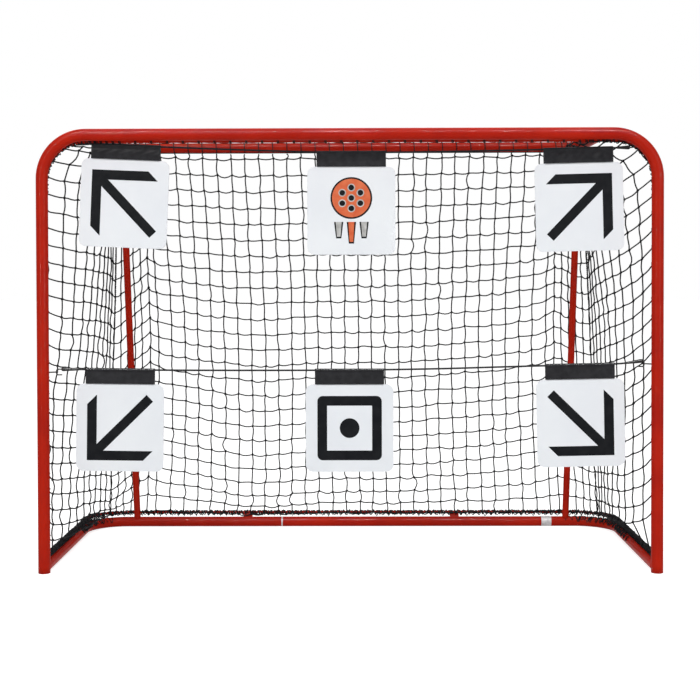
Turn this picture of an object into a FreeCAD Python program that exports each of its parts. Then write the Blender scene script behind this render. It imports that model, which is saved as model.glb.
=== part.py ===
# Floorball goal with six target cards hung on two elastic cords.
# Millimetres. +X to the right of the mouth as seen from the front, +Y into the goal, +Z up.
# The origin is on the floor, in the middle of the footprint.
import FreeCAD, Part
import math
import os

# Front frame: one tube bent into two posts and a crossbar
mouth_width = 1600.0
mouth_height = 1150.0
front_tube = 32.0
front_wall = 2.0
front_bend = 116.0

# Base frame: a flat U that lies on the floor behind the posts
base_tube = 30.0
base_wall = 2.0
base_depth = 640.0
base_bend = 116.0

# Top frame: two arms and a rear bar
top_tube = 28.0
top_wall = 2.0
top_depth = 410.0
top_inset = 138.0
top_bend = 40.0
top_lift = 2.0

# Rear posts, leaning forward from the base to the rear bar
rear_tube = 20.0
rear_wall = 1.5
rear_inset = 5.0
rear_head_forward = 14.0

# Plugs in the feet of the front posts
plug_length = 25.0
plug_bore = 16.0

# Net rails: thin rods on tabs behind the front frame and above the base
rail_rod = 7.0
front_rail_back = 27.0
front_rail_inset = 5.0
front_rail_drop = 16.0
front_rail_bend = 105.0
front_rail_foot = 62.0
base_rail_back = 15.0
base_rail_height = 42.0
base_rail_bend = 125.0
tab_width = 28.0
tab_thickness = 3.0
crossbar_tabs = 5
crossbar_tab_inset = 78.0
post_tabs = 3
post_tab_pitch = 350.0
post_tab_first = 250.0
base_tab_pitch = 325.0
side_tabs = 3
side_tab_pitch = 180.0
side_tab_first = 150.0

# Lacing that binds the net to the rails, and the turns round the rear bar
lacing_thickness = 2.0
loop_cord = 3.0
loop_turns = 24
loop_gap = 0.3

# Net: panels of knotted mesh, coarser than the real one; all are flat but the back, which sags
net_thickness = 3.0
net_strand = 5.0
net_edge = 6.0
back_columns = 20
back_rows = 15
net_pitch = 76.0
net_corner_run = 45.0
net_post_clearance = 14.0
net_top_corner = 91.0
net_bar_inset = 7.0
roof_rise = 4.0
back_sag = 16.0
sag_field = 0.5
least_gap_area = 500.0

# Elastic cords and their hooks
elastic = 5.0
elastic_back = 40.0
hook_large = 11.0
hook_small = 6.0
hook_wire = 3.5
hook_bend = 4.2
top_hook_body = 30.0
mid_hook_body = 42.0
hook_gap = 0.6
hook_reach = 15.0
tie_hook_inset = 22.0
tie_cord = 2.5
tie_gap = 0.4

# Target cards and the folded sleeves that they hang by
card_side = 236.0
card_corner = 20.0
card_thickness = 3.0
sleeve_width = 186.0
sleeve_drop = 37.5
sleeve_wall = 1.3
sleeve_clearance = 1.0
tongue_margin = 3.0
tongue_web = 2.5

# Tape round the rear base tube
band_thickness = 0.4
band_width = 4.0
band_x = -217.0
patch_width = 31.0
patch_inset = 61.0
tape_foot = 1.0

# Where the cards hang: side of the mouth, distance in from that side's net rail or right of the middle,
# the cord's drop below the rail, and the sleeve's slope
card_hangs = {
    "upper_left": (-1, 213.0, 9.0, -0.0436),
    "upper_middle": (0, 5.0, 29.5, 0.0),
    "upper_right": (1, 199.0, 21.0, 0.0236),
    "lower_left": (-1, 194.0, 611.0, -0.0136),
    "lower_middle": (0, -1.0, 613.2, 0.0),
    "lower_right": (1, 194.0, 600.0, 0.0180),
}

# Ends of the cords: distance in from the net rails, and where the middle cord turns up to its hook
top_end_left = 113.0
top_end_right = 95.0
mid_end_left = 82.0
mid_turn_right = 93.0
mid_end_right = 71.0
mid_end_rise = 3.0

# Values that follow from the sizes above
post_x = (mouth_width + front_tube) / 2
crossbar_z = mouth_height + front_tube / 2
top_half_width = post_x - top_inset
rear_half_width = top_half_width - rear_inset
patch_x = rear_half_width - patch_inset
base_z = base_tube / 2
top_z = crossbar_z + top_lift
rail_x = post_x - front_rail_inset
rail_z = crossbar_z - front_rail_drop
card_places = {
    place: (side * (rail_x - inset) if side else inset, rail_z - drop, slope)
    for place, (side, inset, drop, slope) in card_hangs.items()
}
tie_hook_x = rail_x - tie_hook_inset
base_rail_depth = base_depth + base_rail_back
lacing_radius = rail_rod / 2 + lacing_thickness
rear_reach = base_rail_depth + lacing_radius
front_y = (front_tube / 2 - rear_reach) / 2
bore_radius = elastic / 2 + sleeve_clearance
fold_radius = bore_radius + sleeve_wall


def at(x, depth, z):
    """A point by its distance behind the front tube's axis."""
    return FreeCAD.Vector(x, depth + front_y, z)


def unit(vector):
    return vector.normalize() if vector.Length > 0 else vector


def bend_path(points, radii):
    """Straight runs through the points, joined by tangent arcs of the given radii."""
    edges = []
    start = points[0]
    for before, corner, after, radius in zip(points, points[1:], points[2:], radii):
        inward = unit(corner - before)
        outward = unit(after - corner)
        half_turn = inward.getAngle(outward) / 2
        reach = radius * math.tan(half_turn)
        first = corner - inward * reach
        last = corner + outward * reach
        rise = radius / math.cos(half_turn) - radius
        middle = corner + unit(outward - inward) * rise
        if (first - start).Length > 1e-6:
            edges.append(Part.LineSegment(start, first).toShape())
        edges.append(Part.Arc(first, middle, last).toShape())
        start = last
    if (points[-1] - start).Length > 1e-6:
        edges.append(Part.LineSegment(start, points[-1]).toShape())
    return Part.Wire(edges)


def rod(path, radius):
    """A solid round bar along a path of runs and arcs."""
    first = path.OrderedEdges[0]
    start = first.valueAt(first.FirstParameter)
    direction = first.tangentAt(first.FirstParameter)
    if first.Orientation == "Reversed":
        start = first.valueAt(first.LastParameter)
        direction = first.tangentAt(first.LastParameter) * -1
    circle = Part.Wire(Part.Circle(start, direction, radius).toShape())
    return path.makePipeShell([circle], True, False)


def pipe(path, radius, wall):
    return rod(path, radius).cut(rod(path, radius - wall))


def largest(shape):
    return max(shape.Solids, key=lambda solid: solid.Volume)


def front_path():
    points = [at(-post_x, 0, 0), at(-post_x, 0, crossbar_z), at(post_x, 0, crossbar_z), at(post_x, 0, 0)]
    return bend_path(points, [front_bend, front_bend])


def base_path():
    points = [
        at(-post_x, 0, base_z),
        at(-post_x, base_depth, base_z),
        at(post_x, base_depth, base_z),
        at(post_x, 0, base_z),
    ]
    return bend_path(points, [base_bend, base_bend])


def top_path():
    points = [
        at(-top_half_width, 0, top_z),
        at(-top_half_width, top_depth, top_z),
        at(top_half_width, top_depth, top_z),
        at(top_half_width, 0, top_z),
    ]
    return bend_path(points, [top_bend, top_bend])


def front_rail_path():
    points = [
        at(-rail_x, front_rail_back, front_rail_foot),
        at(-rail_x, front_rail_back, rail_z),
        at(rail_x, front_rail_back, rail_z),
        at(rail_x, front_rail_back, front_rail_foot),
    ]
    return bend_path(points, [front_rail_bend, front_rail_bend])


def base_rail_path():
    height = base_rail_height
    points = [
        at(-post_x, 0, height),
        at(-post_x, base_rail_depth, height),
        at(post_x, base_rail_depth, height),
        at(post_x, 0, height),
    ]
    return bend_path(points, [base_rail_bend, base_rail_bend])


def rear_post_path(side):
    foot = at(side * rear_half_width, base_depth, base_z)
    head = at(side * rear_half_width, top_depth - rear_head_forward, top_z)
    return Part.Wire([Part.LineSegment(foot, head).toShape()])


def rear_post(side, base_bar, top_bar):
    """A tube whose ends are shaped to sit on the base and under the rear bar."""
    return largest(pipe(rear_post_path(side), rear_tube / 2, rear_wall).cut(base_bar).cut(top_bar))


def foot_plug(side):
    """A hollow plug, pushed into the foot of a front post."""
    foot = at(side * post_x, 0, 0)
    body = Part.makeCylinder(front_tube / 2 - front_wall, plug_length, foot)
    floor = front_wall
    hollow = Part.makeCylinder(plug_bore / 2, plug_length - floor, foot + FreeCAD.Vector(0, 0, floor))
    return body.cut(hollow)


def tab(tube_axis, rail_axis, along, bars):
    """A small plate that bridges a tube and the rod beside it, trimmed to both."""
    across = rail_axis - tube_axis
    length = across.Length
    across = unit(across)
    normal = across.cross(along)
    corner = tube_axis - along * (tab_width / 2) - normal * (tab_thickness / 2)
    base = Part.makePolygon([
        corner,
        corner + along * tab_width,
        corner + along * tab_width + normal * tab_thickness,
        corner + normal * tab_thickness,
        corner,
    ])
    plate = Part.Face(base).extrude(across * length)
    for bar in bars:
        plate = plate.cut(bar)
    return largest(plate)


def front_tabs(bars):
    """Tabs along the crossbar and down both posts."""
    tabs = []
    sideways = FreeCAD.Vector(1, 0, 0)
    upright = FreeCAD.Vector(0, 0, 1)
    outer = top_half_width - crossbar_tab_inset
    for step in range(crossbar_tabs):
        x = outer * (2 * step / (crossbar_tabs - 1) - 1)
        tabs.append(tab(at(x, 0, crossbar_z), at(x, front_rail_back, rail_z), sideways, bars))
    for side in (-1, 1):
        for step in range(post_tabs):
            z = post_tab_first + step * post_tab_pitch
            tabs.append(tab(at(side * post_x, 0, z), at(side * rail_x, front_rail_back, z), upright, bars))
    return Part.makeCompound(tabs)


def base_tabs(bars):
    """Tabs along the rear of the base and along both sides."""
    tabs = []
    sideways = FreeCAD.Vector(1, 0, 0)
    inward = FreeCAD.Vector(0, 1, 0)
    for step in (-1, 1):
        x = step * base_tab_pitch
        tabs.append(tab(at(x, base_depth, base_z), at(x, base_rail_depth, base_rail_height), sideways, bars))
    for side in (-1, 1):
        for step in range(side_tabs):
            depth = side_tab_first + step * side_tab_pitch
            low = at(side * post_x, depth, base_z)
            high = at(side * post_x, depth, base_rail_height)
            tabs.append(tab(low, high, inward, bars))
    return Part.makeCompound(tabs)


def arc_from_tangent(start, tangent, end):
    """The arc that leaves start along tangent and reaches end."""
    chord = end - start
    along = unit(FreeCAD.Vector(chord))
    angle = tangent.getAngle(along)
    side = unit(tangent - along * tangent.dot(along))
    middle = start + chord * 0.5 + side * (chord.Length / 2 * math.tan(angle / 2))
    return Part.Arc(start, middle, end).toShape()


def biarc(start, start_tangent, end, end_tangent):
    """Two tangent arcs from one point and direction to another."""
    span = end - start
    total = start_tangent + end_tangent
    spread = 2 * (1 - start_tangent.dot(end_tangent))
    product = span.dot(total)
    reach = (math.sqrt(product * product + spread * span.dot(span)) - product) / spread
    joint = (start + end + (start_tangent - end_tangent) * reach) * 0.5
    joint_tangent = unit(joint - start - start_tangent * reach)
    return [arc_from_tangent(start, start_tangent, joint), arc_from_tangent(joint, joint_tangent, end)]


def bar_loops():
    """The edge cord of the net, wound round the rear bar in one run."""
    radius = top_tube / 2 + loop_gap + loop_cord / 2
    length = 2 * (top_half_width - top_bend) - 2 * loop_cord
    pitch = length / loop_turns
    slope = pitch / (2 * math.pi)
    left = -length / 2

    def place(turn):
        angle = 2 * math.pi * turn
        return at(left + pitch * turn, top_depth + radius * math.cos(angle), top_z + radius * math.sin(angle))

    def heading(turn):
        angle = 2 * math.pi * turn
        return unit(FreeCAD.Vector(slope, -radius * math.sin(angle), radius * math.cos(angle)))

    edges = []
    for quarter in range(4 * loop_turns):
        now = quarter / 4
        then = now + 0.25
        edges += biarc(place(now), heading(now), place(then), heading(then))
    samples = 48
    steps = [place(step / samples) for step in range(samples * loop_turns + 1)]
    least = min((one - other).Length for one, other in zip(steps, steps[samples:])) - loop_cord
    print("least gap between the turns round the rear bar:", round(least, 2))
    return rod(Part.Wire(edges), loop_cord / 2)


def clip_convex(polygon, start, end):
    """The part of a flat polygon that lies left of the line from start to end."""
    def side(point):
        return (end[0] - start[0]) * (point[1] - start[1]) - (end[1] - start[1]) * (point[0] - start[0])

    kept = []
    for index, point in enumerate(polygon):
        before = polygon[index - 1]
        now = side(point)
        earlier = side(before)
        if now * earlier < 0:
            share = earlier / (earlier - now)
            cut_x = before[0] + share * (point[0] - before[0])
            cut_y = before[1] + share * (point[1] - before[1])
            kept.append((cut_x, cut_y))
        if now >= 0:
            kept.append(point)
    return kept


def area_of(polygon):
    total = 0
    for index, point in enumerate(polygon):
        before = polygon[index - 1]
        total += before[0] * point[1] - point[0] * before[1]
    return total / 2


def panel_axes(corners):
    """The normal, the level direction and the direction up of a panel's plane."""
    normal = unit((corners[1] - corners[0]).cross(corners[-1] - corners[0]))
    along = unit(FreeCAD.Vector(0, 0, 1).cross(normal))
    return normal, along, normal.cross(along)


def net_gaps(corners, columns_pitch, rows_pitch):
    """The outlines of the gaps of a grid, each clipped to the panel inside its edge."""
    origin = corners[0]
    normal, along, up = panel_axes(corners)
    outline = [((corner - origin).dot(along), (corner - origin).dot(up)) for corner in corners]
    low_x = min(point[0] for point in outline)
    high_x = max(point[0] for point in outline)
    low_y = min(point[1] for point in outline)
    high_y = max(point[1] for point in outline)
    columns = max(1, round((high_x - low_x - net_edge) / columns_pitch))
    rows = max(1, round((high_y - low_y - net_edge) / rows_pitch))
    step_x = (high_x - low_x - net_edge) / columns
    step_y = (high_y - low_y - net_edge) / rows
    gaps = []
    for column in range(columns):
        for row in range(rows):
            left = low_x + net_edge / 2 + column * step_x + net_strand / 2
            right = left + step_x - net_strand
            bottom = low_y + net_edge / 2 + row * step_y + net_strand / 2
            top = bottom + step_y - net_strand
            gap = [(left, bottom), (right, bottom), (right, top), (left, top)]
            for index, point in enumerate(outline):
                before = outline[index - 1]
                length = math.hypot(point[0] - before[0], point[1] - before[1])
                inset_x = -(point[1] - before[1]) / length * net_edge
                inset_y = (point[0] - before[0]) / length * net_edge
                start = (before[0] + inset_x, before[1] + inset_y)
                end = (point[0] + inset_x, point[1] + inset_y)
                gap = clip_convex(gap, start, end) if gap else gap
            if gap and area_of(gap) > least_gap_area:
                gaps.append([origin + along * x + up * y for x, y in gap])
    print("gaps in a net panel:", len(gaps))
    return gaps


def closed_wire(points):
    return Part.makePolygon(points + points[:1])


def net_panel(corners, columns_pitch, rows_pitch):
    """A flat net: one face with a grid of gaps, given its thickness."""
    gaps = net_gaps(corners, columns_pitch, rows_pitch)
    face = Part.makeFace([closed_wire(points) for points in [corners] + gaps], "Part::FaceMakerBullseye")
    normal = panel_axes(corners)[0]
    solid = face.extrude(normal * net_thickness)
    solid.translate(normal * (-net_thickness / 2))
    return solid


def sagging_net(corners, columns_pitch, rows_pitch, sag):
    """A net whose middle field lies a sag away from its corners' plane, with four sloping fields round it."""
    through = unit(FreeCAD.Vector(sag))
    middle = sum(corners, FreeCAD.Vector()) * (1 / len(corners))
    field = [middle + (corner - middle) * sag_field + sag for corner in corners]
    fields = [field]
    for index, corner in enumerate(corners):
        fields.append([corners[index - 1], corner, field[index], field[index - 1]])
    sheets = [Part.Face(closed_wire(points)).extrude(through * net_thickness) for points in fields]
    gaps = []
    for points in net_gaps(corners, columns_pitch, rows_pitch):
        gap = Part.Face(closed_wire(points)).extrude(through * (sag.Length + 3 * net_thickness))
        gap.translate(through * -net_thickness)
        gaps.append(gap)
    solid = sheets[0].fuse(sheets[1:]).removeSplitter().cut(gaps)
    solid.translate(through * (-net_thickness / 2))
    return solid


def net_corner_points(side):
    """The points that the panels of one side of the net run between."""
    reach = base_rail_bend - net_corner_run
    bend_x = post_x - base_rail_bend
    bend_depth = base_rail_depth - base_rail_bend
    spread = math.sqrt(base_rail_bend ** 2 - net_corner_run ** 2)
    return {
        "foot": at(side * rail_x, front_rail_back, base_rail_height),
        "shoulder": at(side * rail_x, front_rail_back, rail_z - front_rail_bend),
        "brow": at(side * (rail_x - net_top_corner), front_rail_back, rail_z),
        "side_end": at(side * (bend_x + spread), base_rail_depth - reach, base_rail_height),
        "rear_end": at(side * bend_x, base_rail_depth, base_rail_height),
        "peak": at(side * (top_half_width + net_post_clearance), top_depth + net_bar_inset, top_z),
    }


def side_panels(side, trims):
    """The four flat panels that close one side of the goal, each trimmed to the one before."""
    point = net_corner_points(side)
    outlines = {
        "front": ("foot", "shoulder", "peak"),
        "rear": ("foot", "peak", "side_end"),
        "corner": ("side_end", "peak", "rear_end"),
        "top": ("shoulder", "brow", "peak"),
    }
    panels = {}
    for name, keys in outlines.items():
        corners = [point[key] for key in keys]
        panel = net_panel(corners, net_pitch, net_pitch)
        panels[name] = largest(panel.cut(list(panels.values()) + trims))
    return panels


def back_panel(trims):
    left = net_corner_points(-1)
    right = net_corner_points(1)
    corners = [left["rear_end"], right["rear_end"], right["peak"], left["peak"]]
    width = (corners[1] - corners[0]).Length
    height = (corners[3] - corners[0]).Length
    sag = FreeCAD.Vector(0, -back_sag, 0)
    return largest(sagging_net(corners, width / back_columns, height / back_rows, sag).cut(trims))


def roof_panel(trims):
    side = top_half_width - net_bar_inset
    corners = [
        at(-side, front_rail_back, rail_z + roof_rise),
        at(side, front_rail_back, rail_z + roof_rise),
        at(side, top_depth, top_z),
        at(-side, top_depth, top_z),
    ]
    return largest(net_panel(corners, net_pitch, net_pitch).cut(trims))


def sleeve_height(place, x):
    """The height of a card's cord line at a distance from the middle."""
    middle_x, height, slope = card_places[place]
    return height + (x - middle_x) * slope


def sleeve_point(place, offset):
    """A point of a card's cord line, by its distance to the right of the sleeve's middle."""
    x = card_places[place][0] + offset
    return at(x, elastic_back, sleeve_height(place, x))


def top_cord_points():
    """From the left hook through the three upper sleeves to the right hook."""
    left = top_end_left - rail_x
    right = rail_x - top_end_right
    return [
        at(left, elastic_back, sleeve_height("upper_left", left)),
        sleeve_point("upper_middle", -130.0),
        sleeve_point("upper_middle", 135.0) + FreeCAD.Vector(0, 0, 0.2),
        sleeve_point("upper_right", -132.0),
        at(right, elastic_back, sleeve_height("upper_right", right)),
    ]


def mid_cord_points():
    """From the left hook through the three lower sleeves, then up to the right hook."""
    left = mid_end_left - rail_x
    turn = rail_x - mid_turn_right
    right = rail_x - mid_end_right
    return [
        at(left, elastic_back, sleeve_height("lower_left", left)),
        sleeve_point("lower_left", 162.0),
        sleeve_point("lower_middle", 131.0) + FreeCAD.Vector(0, 0, 0.3),
        sleeve_point("lower_right", -117.0),
        at(turn, elastic_back, sleeve_height("lower_right", turn)),
        at(right, elastic_back, sleeve_height("lower_right", turn) + mid_end_rise),
    ]


def cord_radii(points):
    """Each bend as large as its two runs allow."""
    radii = []
    for before, corner, after in zip(points, points[1:], points[2:]):
        inward = corner - before
        outward = after - corner
        half_turn = inward.getAngle(outward) / 2
        radii.append(0.45 * min(inward.Length, outward.Length) / math.tan(half_turn))
    return radii


def elastic_cord(points):
    radii = cord_radii(points)
    path = bend_path(points, radii)
    solid = rod(path, elastic / 2)
    ratio = solid.Volume / (math.pi * elastic ** 2 / 4 * path.Length)
    print("cord length", round(path.Length, 1), "radii", [round(radius) for radius in radii])
    print("volume over section times length", round(ratio, 5))
    return solid


def hook_body(end, heading, length):
    """The moulded end of a cord: a cone that widens away from the cord."""
    cone = Part.makeCone(hook_small / 2, hook_large / 2, length, end, heading)
    return cone.fuse(Part.makeSphere(hook_large / 2, end + heading * length, heading, 0, 90, 360))


def rail_hook(points, side):
    """A hook whose wire goes over the front rail and down before it."""
    end = points[0] if side < 0 else points[-1]
    inner = points[1] if side < 0 else points[-2]
    heading = unit(end - inner)
    body = hook_body(end, heading, top_hook_body)
    x = end.x + side * (top_hook_body + hook_large)
    past_bend = max(0, abs(x) - (rail_x - front_rail_bend))
    level = math.sqrt(front_rail_bend ** 2 - past_bend ** 2)
    rail_height = rail_z - front_rail_bend + level
    around = (lacing_radius + hook_gap + hook_wire / 2) * front_rail_bend / level
    wire = [
        end + heading * top_hook_body,
        at(x, elastic_back, end.z),
        at(x, elastic_back, rail_height + around),
        at(x, front_rail_back - around, rail_height + around),
        at(x, front_rail_back - around, rail_height - lacing_radius),
    ]
    bends = [hook_bend, hook_bend, 2 * hook_bend]
    return body.fuse(rod(bend_path(wire, bends), hook_wire / 2)).removeSplitter()


def hook_room(points, side):
    """The room that a hook's body takes where it pokes through the net."""
    end = points[0] if side < 0 else points[-1]
    inner = points[1] if side < 0 else points[-2]
    length = top_hook_body + 2 * hook_large
    return Part.makeCylinder(hook_large / 2 + 2 * hook_gap, length, end, unit(end - inner))


def hook_neck(points, side):
    """Where the wire of a middle hook leaves its body."""
    end = points[0] if side < 0 else points[-1]
    inner = points[1] if side < 0 else points[-2]
    return end + unit(end - inner) * mid_hook_body


def tie_hook(points, side):
    """A hook whose wire turns down through the tie and back under the body."""
    end = points[0] if side < 0 else points[-1]
    neck = hook_neck(points, side)
    body = hook_body(end, unit(neck - end), mid_hook_body)
    outer_x = side * tie_hook_x
    wire = [
        neck,
        FreeCAD.Vector(outer_x, neck.y, neck.z),
        FreeCAD.Vector(outer_x, neck.y, neck.z - hook_reach),
        FreeCAD.Vector(outer_x - side * hook_reach, neck.y, neck.z - hook_reach),
    ]
    bends = [hook_bend, hook_bend]
    return body.fuse(rod(bend_path(wire, bends), hook_wire / 2)).removeSplitter()


def net_tie(points, side):
    """A closed loop of twine round the rail and the upright of the hook."""
    height = hook_neck(points, side).z - hook_reach / 2
    rail = at(side * rail_x, front_rail_back, height)
    hook = at(side * tie_hook_x, elastic_back, height)
    along = unit(hook - rail)
    across = along.cross(FreeCAD.Vector(0, 0, 1))
    radius = lacing_radius + tie_gap + tie_cord / 2
    pull = radius - hook_wire / 2 - tie_gap - tie_cord / 2
    hook = hook - along * pull
    edges = [
        Part.LineSegment(rail + across * radius, hook + across * radius).toShape(),
        Part.Arc(hook + across * radius, hook + along * radius, hook - across * radius).toShape(),
        Part.LineSegment(hook - across * radius, rail - across * radius).toShape(),
        Part.Arc(rail - across * radius, rail - along * radius, rail + across * radius).toShape(),
    ]
    circle = Part.Wire(Part.Circle(rail + across * radius, along, tie_cord / 2).toShape())
    return Part.Wire(edges).makePipeShell([circle], True, False)


def card_panel():
    """The card and the tongue that its sleeve is fixed to, hanging below the cord's axis."""
    half = card_side / 2
    top = -sleeve_drop
    plate = Part.makeBox(card_side, card_thickness, card_side,
                         FreeCAD.Vector(-half, -card_thickness / 2, top - card_side))
    upright = [edge for edge in plate.Edges
               if abs(edge.BoundBox.YLength - card_thickness) < 1e-6 and edge.Length < card_thickness + 1]
    return plate.makeFillet(card_corner, upright).fuse(tongue()).removeSplitter()


def tongue():
    width = sleeve_width - 2 * tongue_margin
    height = sleeve_drop - bore_radius - tongue_web
    return Part.makeBox(width, card_thickness, height,
                        FreeCAD.Vector(-width / 2, -card_thickness / 2, -sleeve_drop))


def card_sleeve():
    """A strip folded over the cord, with a leg down each face of the tongue."""
    half = sleeve_width / 2
    start = FreeCAD.Vector(-half, 0, 0)
    across = FreeCAD.Vector(1, 0, 0)
    fold = Part.makeCylinder(fold_radius, sleeve_width, start, across)
    thickness = card_thickness + 2 * sleeve_wall
    foot = FreeCAD.Vector(-half, -thickness / 2, -sleeve_drop)
    legs = Part.makeBox(sleeve_width, thickness, sleeve_drop, foot)
    bore = Part.makeCylinder(bore_radius, sleeve_width, start, across)
    return fold.fuse(legs).cut(bore).cut(tongue()).removeSplitter()


def hung(shape, place):
    """A card's shape, turned to its cord's slope and moved to its place."""
    middle_x, height, slope = card_places[place]
    copy = shape.copy()
    copy.rotate(FreeCAD.Vector(0, 0, 0), FreeCAD.Vector(0, 1, 0), -math.degrees(math.atan(slope)))
    copy.translate(at(middle_x, elastic_back, height))
    return copy


def base_tape(x, width):
    """A strip of tape round the rear base tube, open where the tube lies on the floor."""
    radius = base_tube / 2
    start = at(x - width / 2, base_depth, base_z)
    along = FreeCAD.Vector(1, 0, 0)
    ring = Part.makeCylinder(radius + band_thickness, width, start, along)
    ring = ring.cut(Part.makeCylinder(radius, width, start, along))
    corner = at(x - width / 2, base_depth - radius, tape_foot - base_tube)
    return ring.cut(Part.makeBox(width, base_tube, base_tube, corner))


def build():
    nodes = {}
    front_bar = rod(front_path(), front_tube / 2)
    base_bar = rod(base_path(), base_tube / 2)
    top_bar = rod(top_path(), top_tube / 2)
    nodes["front_frame"] = pipe(front_path(), front_tube / 2, front_wall)
    nodes["base_frame"] = largest(pipe(base_path(), base_tube / 2, base_wall).cut(front_bar))
    nodes["top_frame"] = largest(pipe(top_path(), top_tube / 2, top_wall).cut(front_bar))
    for name, side in (("left", -1), ("right", 1)):
        nodes["rear_post_" + name] = rear_post(side, base_bar, top_bar)
        nodes["foot_plug_" + name] = foot_plug(side)

    front_rod = rod(front_rail_path(), rail_rod / 2)
    base_rod = largest(rod(base_rail_path(), rail_rod / 2).cut(front_bar))
    nodes["front_net_rail"] = front_rod
    nodes["base_net_rail"] = base_rod
    nodes["front_rail_tabs"] = front_tabs([front_bar, front_rod])
    nodes["base_rail_tabs"] = base_tabs([base_bar, base_rod])
    front_lacing = rod(front_rail_path(), lacing_radius)
    base_lacing = largest(rod(base_rail_path(), lacing_radius).cut(front_bar))
    nodes["front_lacing"] = front_lacing.cut(front_rod).cut(nodes["front_rail_tabs"]).cut(top_bar)
    nodes["base_lacing"] = base_lacing.cut(base_rod).cut(nodes["base_rail_tabs"])
    nodes["top_lacing"] = bar_loops()

    top_points = top_cord_points()
    mid_points = mid_cord_points()
    side_nets = []
    for name, side in (("left", -1), ("right", 1)):
        panels = side_panels(side, [front_lacing, base_lacing, top_bar, hook_room(top_points, side)])
        for part, panel in panels.items():
            nodes["net_" + name + "_" + part] = panel
            side_nets.append(panel)
    nodes["net_back"] = back_panel([base_lacing, top_bar] + side_nets)
    nodes["net_roof"] = roof_panel([front_lacing, top_bar])

    nodes["elastic_cord_top"] = elastic_cord(top_points)
    nodes["elastic_cord_mid"] = elastic_cord(mid_points)
    for name, side in (("left", -1), ("right", 1)):
        nodes["hook_top_" + name] = rail_hook(top_points, side)
        nodes["hook_mid_" + name] = tie_hook(mid_points, side)
        nodes["net_tie_" + name] = net_tie(mid_points, side)

    panel = card_panel()
    sleeve = card_sleeve()
    for place in card_places:
        nodes["card_" + place] = hung(panel, place)
        nodes["sleeve_" + place] = hung(sleeve, place)

    nodes["marker_band"] = base_tape(band_x, band_width)
    nodes["blank_patch"] = base_tape(patch_x, patch_width)
    return nodes


os.makedirs("parts", exist_ok=True)
for node, shape in build().items():
    shape.exportStep("parts/" + node + ".step")
    box = shape.BoundBox
    print(node, len(shape.Solids), round(shape.Volume),
          [round(value, 1) for value in (box.XMin, box.YMin, box.ZMin, box.XMax, box.YMax, box.ZMax)])
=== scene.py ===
import bpy
import math
import numpy as np
from mathutils import Matrix, Vector


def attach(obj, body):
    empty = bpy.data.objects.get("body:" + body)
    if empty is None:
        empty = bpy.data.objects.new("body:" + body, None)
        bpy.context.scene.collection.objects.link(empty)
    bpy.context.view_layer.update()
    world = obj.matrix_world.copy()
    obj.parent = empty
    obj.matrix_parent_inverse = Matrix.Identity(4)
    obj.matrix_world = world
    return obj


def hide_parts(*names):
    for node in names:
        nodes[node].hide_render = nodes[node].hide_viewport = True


# Indoor goal with a knotted net and six cards on two elastic cords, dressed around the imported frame
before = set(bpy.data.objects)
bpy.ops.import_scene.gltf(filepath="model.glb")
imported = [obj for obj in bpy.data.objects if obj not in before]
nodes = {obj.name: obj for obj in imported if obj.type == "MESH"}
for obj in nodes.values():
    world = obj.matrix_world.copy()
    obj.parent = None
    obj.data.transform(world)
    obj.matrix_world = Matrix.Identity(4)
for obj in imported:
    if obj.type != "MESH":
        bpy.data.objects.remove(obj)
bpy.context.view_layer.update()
print("frame loaded with", len(nodes), "parts")

frontY = -0.32225  # the front tube's axis; every depth below is measured behind it


def addObject(name, data):
    made = bpy.data.objects.new(name, data)
    bpy.context.scene.collection.objects.link(made)
    return made


def at(x, depth, z):
    # a point, or a line of points, from its distance behind the front tube's axis
    x, depth, z = np.broadcast_arrays(np.asarray(x, float), depth, z)
    return np.stack([x, depth + frontY, z], axis=-1)


# Camera at the photograph's angle
camera = dict(
    place=(0.0182, -3.82225, 0.8078), lens=67.855, sensor=36.0, far=50,
    yaw=-0.0067, pitch=0.0187, roll=0.0024, shift=(0.0034, -0.0799))


def addCamera(values):
    # the view's right, forward and up directions: a yaw, then a pitch, then a roll about the line of sight
    cy, sy = math.cos(values["yaw"]), math.sin(values["yaw"])
    cp, sp = math.cos(values["pitch"]), math.sin(values["pitch"])
    cr, sr = math.cos(values["roll"]), math.sin(values["roll"])
    yaw = np.array([[cy, -sy, 0], [sy, cy, 0], [0, 0, 1]])
    pitch = np.array([[1, 0, 0], [0, cp, -sp], [0, sp, cp]])
    roll = np.array([[cr, 0, -sr], [0, 1, 0], [sr, 0, cr]])
    right, forward, up = roll @ pitch @ yaw
    turn = np.eye(4)
    turn[:3, 0], turn[:3, 1], turn[:3, 2], turn[:3, 3] = right, up, -forward, values["place"]
    data = bpy.data.cameras.new("view")
    data.lens, data.sensor_width = values["lens"], values["sensor"]
    data.shift_x, data.shift_y = values["shift"]
    data.clip_end = values["far"]
    eye = addObject("view", data)
    eye.matrix_world = Matrix(turn.tolist())
    bpy.context.scene.camera = eye


addCamera(camera)
bpy.context.scene.view_settings.view_transform = "Standard"
print("camera placed")


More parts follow.
